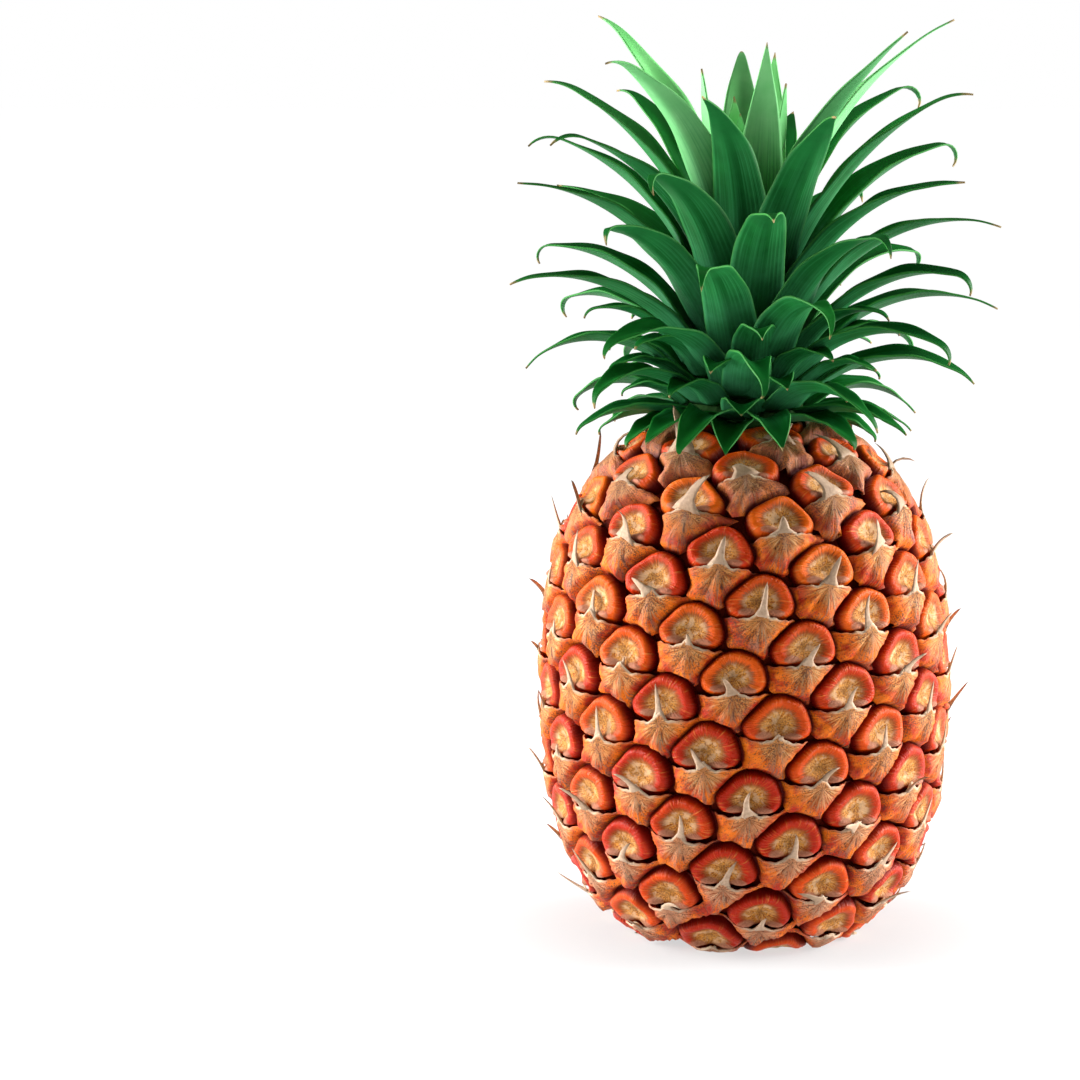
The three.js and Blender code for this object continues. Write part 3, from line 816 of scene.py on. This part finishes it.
def thicken(leaf):
    """Gives a leaf blade its flesh, with the second finish on its underside."""
    flesh = leaf.modifiers.new("thickness", "SOLIDIFY")
    flesh.thickness = LEAF_THICKNESS
    flesh.offset = -1
    flesh.material_offset = 1
    flesh.material_offset_rim = 1


leaf_finishes = [leaf_face_finish(), leaf_back_finish()]
leaf_nodes = sorted(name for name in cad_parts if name.startswith("crown_leaf_"))
for number, name in enumerate(leaf_nodes):
    midrib, width, fold = leaf_frame(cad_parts[name].data)
    young = float(ease(number, FIRST_OF_BUD - 7, FIRST_OF_BUD))
    curl = 0.1 if number >= FIRST_OF_BUD else 2.4 * leaf_chance.uniform(0, 1) ** 2
    mesh = blade(f"leaf_{number + 1:02d}", midrib, width, fold, curl, young)
    thicken(add_piece(f"leaf_{number + 1:02d}", mesh, leaf_finishes, [name]))

# ---- The small leaves under the crown ----
# A ruff of short, narrow leaves grows from the very top of the fruit below the crown proper and
# droops over the highest eyes. A few more stand between the crown's lowest leaves and hide the stem.
RUFF_LEAVES = 17
FILLING_LEAVES = 26
SMALL_LEAF_HALF_WIDTH = 0.0074
GAP_TO_STEM = 0.0008
stem_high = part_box("crown_stem")[1]
fruit_top = WIDEST_HEIGHT + RISE_ABOVE
along_leaf = np.linspace(0, 1, 9)


def small_leaf(name, azimuth, height, length, foot_lean, bend):
    """A short leaf that leaves the stem at a height, at an angle above level, and bends down."""
    lean = foot_lean - bend * along_leaf**1.3
    stride = length / (len(along_leaf) - 1)
    away = stem_high.x + GAP_TO_STEM + run(stride * np.cos(lean[:-1]))
    rise = height + run(stride * np.sin(lean[:-1]))
    out = np.array((math.cos(azimuth), math.sin(azimuth), 0))
    sideways = np.array((-out[1], out[0], 0))
    upward = np.array((0, 0, 1))
    taper = (1 - along_leaf**1.8) ** 1.1 * (0.9 + 0.4 * along_leaf)
    midrib = away[:, None] * out + rise[:, None] * upward
    width = SMALL_LEAF_HALF_WIDTH * taper[:, None] * sideways
    off_the_leaf = np.cos(lean)[:, None] * upward - np.sin(lean)[:, None] * out
    fold = 0.4 * SMALL_LEAF_HALF_WIDTH * taper[:, None] * off_the_leaf
    mesh = blade(name, midrib, width, fold, leaf_chance.uniform(0.2, 1.4), 0.0)
    thicken(add_piece(name, mesh, leaf_finishes))


for number in range(RUFF_LEAVES):
    share = number / (RUFF_LEAVES - 1)
    azimuth = math.radians(247) - (number + 1) * GOLDEN_ANGLE
    length = (0.037 - 0.012 * share) * leaf_chance.uniform(0.9, 1.1)
    foot_lean = math.radians(14 - 10 * share)
    height = fruit_top + 0.0012 - 0.002 * share
    small_leaf(f"ruff_leaf_{number + 1:02d}", azimuth, height, length, foot_lean, 0.9)
for number in range(FILLING_LEAVES):
    share = number / (FILLING_LEAVES - 1)
    azimuth = math.radians(265) + number * GOLDEN_ANGLE
    length = (0.022 + 0.018 * share) * leaf_chance.uniform(0.85, 1.1)
    foot_lean = math.radians(40 + 20 * share)
    height = fruit_top + 0.002 + 0.016 * share
    small_leaf(f"filling_leaf_{number + 1:02d}", azimuth, height, length, foot_lean, 1.5)

# ---- The floor ----
# A white sheet of studio paper, wide enough to fill the view, that the fruit stands on.
floor = bmesh.new()
bmesh.ops.create_grid(floor, x_segments=4, y_segments=4, size=6.0)
floor_mesh = to_mesh(floor, "studio_floor")
paper_white = new_finish("studio_paper")
paper_place = place_on_piece(paper_white)
grain = mottle(paper_white, paper_place, 0.002)
white = blend(paper_white, grain, (0.24, 0.24, 0.24, 1), (0.26, 0.26, 0.26, 1))
distance = step(paper_white, "ShaderNodeVectorMath", {0: paper_place}, operation="LENGTH").outputs["Value"]
# The paper glows so that it stays evenly white. It glows less within about 14 cm of the fruit's middle,
# which is a painted shadow round the fruit's foot.
glow_and_painted_shadow = fade(paper_white, distance, 0.03, 0.14, 0.62, 0.98)
glowing = {"Emission_Color": (1, 1, 1, 1), "Emission_Strength": glow_and_painted_shadow}
paint(paper_white, white, 0.9, Specular_IOR_Level=0.0, **glowing)
floor_mesh.materials.append(paper_white)
studio_floor = bpy.data.objects.new("studio_floor", floor_mesh)
bpy.context.scene.collection.objects.link(studio_floor)

# ---- The light ----
# Two tall soft boxes, one each side and a little behind the fruit, with a soft top light over it.
# The front is lit only by the pale surroundings, so the eyes there keep their deep colour.
def soft_box(name, place, target, width, height, power):
    lamp = bpy.data.lights.new(name, "AREA")
    lamp.shape = "RECTANGLE"
    lamp.size = width
    lamp.size_y = height
    lamp.energy = power
    box = bpy.data.objects.new(name, lamp)
    box.location = place
    box.rotation_euler = (Vector(target) - Vector(place)).to_track_quat("-Z", "Y").to_euler()
    bpy.context.scene.collection.objects.link(box)


SURROUNDING_LIGHT = 0.11
middle_of_plant = (0, 0, 0.13)
for name, side in (("left_box", -1), ("right_box", 1)):
    soft_box(name, (side * 0.95, 0.18, 0.24), middle_of_plant, 0.7, 1.0, 36)
soft_box("top_box", (0, 0.15, 1.4), middle_of_plant, 1.0, 1.0, 2.5)

surroundings = bpy.data.worlds.new("white_studio")
bpy.context.scene.world = surroundings
surroundings.use_nodes = True
seen = step(surroundings, "ShaderNodeLightPath").outputs["Is Camera Ray"]
brightness = {"Value": seen, "To Min": SURROUNDING_LIGHT, "To Max": 1.0}
backdrop = surroundings.node_tree.nodes["Background"].inputs
feed(surroundings, backdrop["Color"], (1, 1, 1, 1))
feed(surroundings, backdrop["Strength"], step(surroundings, "ShaderNodeMapRange", brightness).outputs[0])
bpy.context.scene.view_settings.view_transform = "Standard"

# ---- The camera ----
# A long lens a little above the fruit's middle, with the plant standing right of the centre.
CAMERA_DISTANCE = 1.3
CAMERA_ELEVATION = math.radians(8.5)
VIEW_WIDTH = 0.3429
aim = Vector((-0.065, 0, 0.125))
lens = bpy.data.cameras.new("camera")
lens.lens = lens.sensor_width * CAMERA_DISTANCE / VIEW_WIDTH
camera = bpy.data.objects.new("camera", lens)
back = Vector((0, -math.cos(CAMERA_ELEVATION), math.sin(CAMERA_ELEVATION)))
camera.location = aim + CAMERA_DISTANCE * back
camera.rotation_euler = (-back).to_track_quat("-Z", "Y").to_euler()
bpy.context.scene.collection.objects.link(camera)
bpy.context.scene.camera = camera
